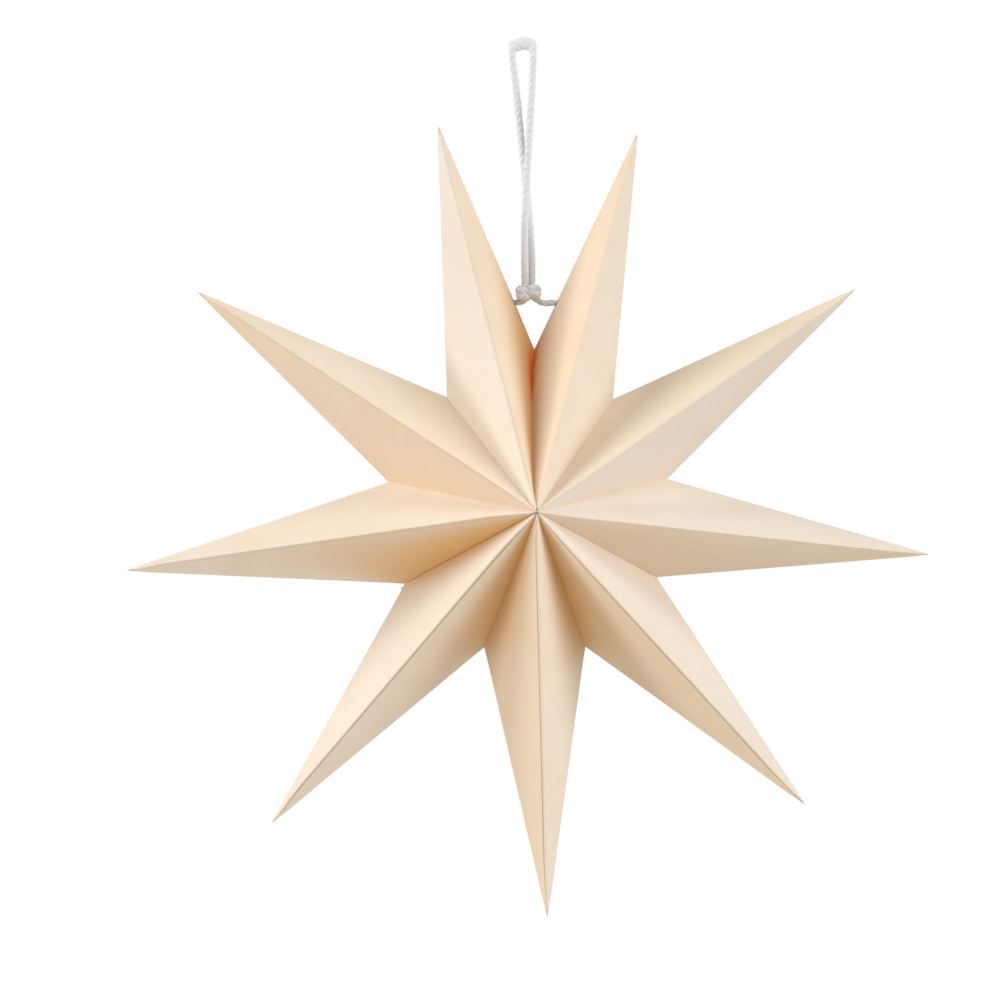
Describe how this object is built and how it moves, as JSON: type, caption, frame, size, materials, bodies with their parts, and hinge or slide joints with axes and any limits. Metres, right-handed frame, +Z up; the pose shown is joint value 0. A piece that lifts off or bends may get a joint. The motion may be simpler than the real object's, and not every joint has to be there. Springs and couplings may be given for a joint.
{
  "type": "paper star",
  "caption": "Hanging star of folded cream paper: long hollow pointed arms glued side by side round one centre, carried by a tied loop of white cotton cord.",
  "frame": {"origin": "under the top of the cord loop, at the place where a hook or nail carries it, in the star's middle plane", "axes": "+Z is up along the hanging cord, the star faces -Y, and +X is to the right as seen from the front"},
  "size_m": [0.3008, 0.084, 0.3299],
  "materials": {
    "arm_paper": "matt cream card, lightly calendered",
    "cord_cotton": "soft twisted white cotton"
  },
  "bodies": {
    "root": {"arm_1": "arm_paper", "arm_2": "arm_paper", "arm_3": "arm_paper", "arm_4": "arm_paper", "arm_5": "arm_paper", "arm_6": "arm_paper", "arm_7": "arm_paper", "arm_8": "arm_paper", "arm_9": "arm_paper", "cord_loop": "cord_cotton", "cord_tie_left": "cord_cotton", "cord_tie_right": "cord_cotton", "main_knot": "cord_cotton", "stopper_knot_left": "cord_cotton", "stopper_knot_right": "cord_cotton"}
  },
  "joints": []
}
